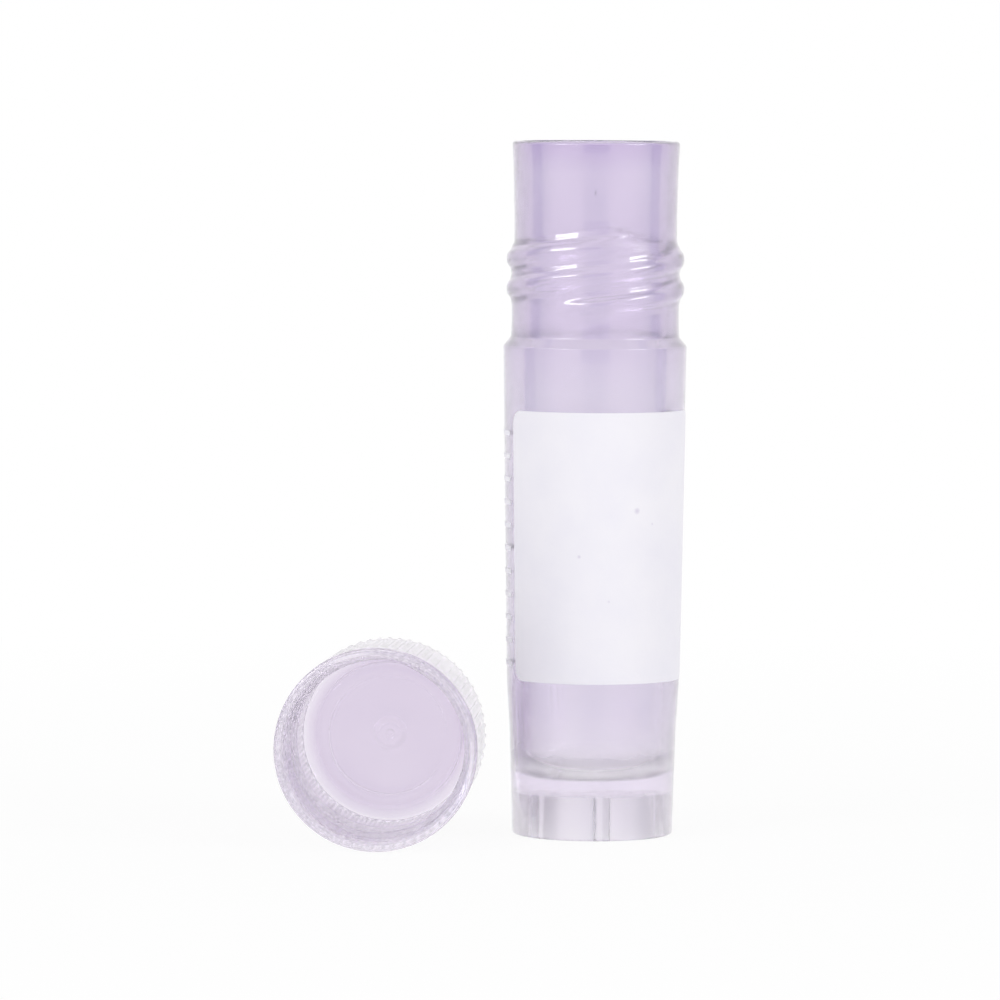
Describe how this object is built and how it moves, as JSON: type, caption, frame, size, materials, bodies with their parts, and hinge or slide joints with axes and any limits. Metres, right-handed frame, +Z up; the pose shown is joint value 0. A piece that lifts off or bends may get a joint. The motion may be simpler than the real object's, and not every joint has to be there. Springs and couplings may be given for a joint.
{
  "type": "cryogenic vial",
  "caption": "Tall tapered plastic screw-cap vial standing open on its star-locking foot, with a threaded neck, white writing patch and graduation ticks; its ribbed cap lies beside it.",
  "frame": {"origin": "centre of the tube's foot, on the surface that it stands on", "axes": "+Z up along the tube; -Y to the front, where the writing patch faces; the cap lies on the -X side"},
  "size_m": [0.027, 0.0188, 0.0462],
  "materials": {
    "natural_polypropylene": "translucent, satin moulded",
    "natural_polypropylene_cap": "translucent, satin moulded",
    "white_ink": "matt screen print"
  },
  "bodies": {
    "root": {"tube": "natural_polypropylene", "cap": "natural_polypropylene_cap", "writing_patch": "white_ink", "graduation_marks": "white_ink"}
  },
  "joints": []
}
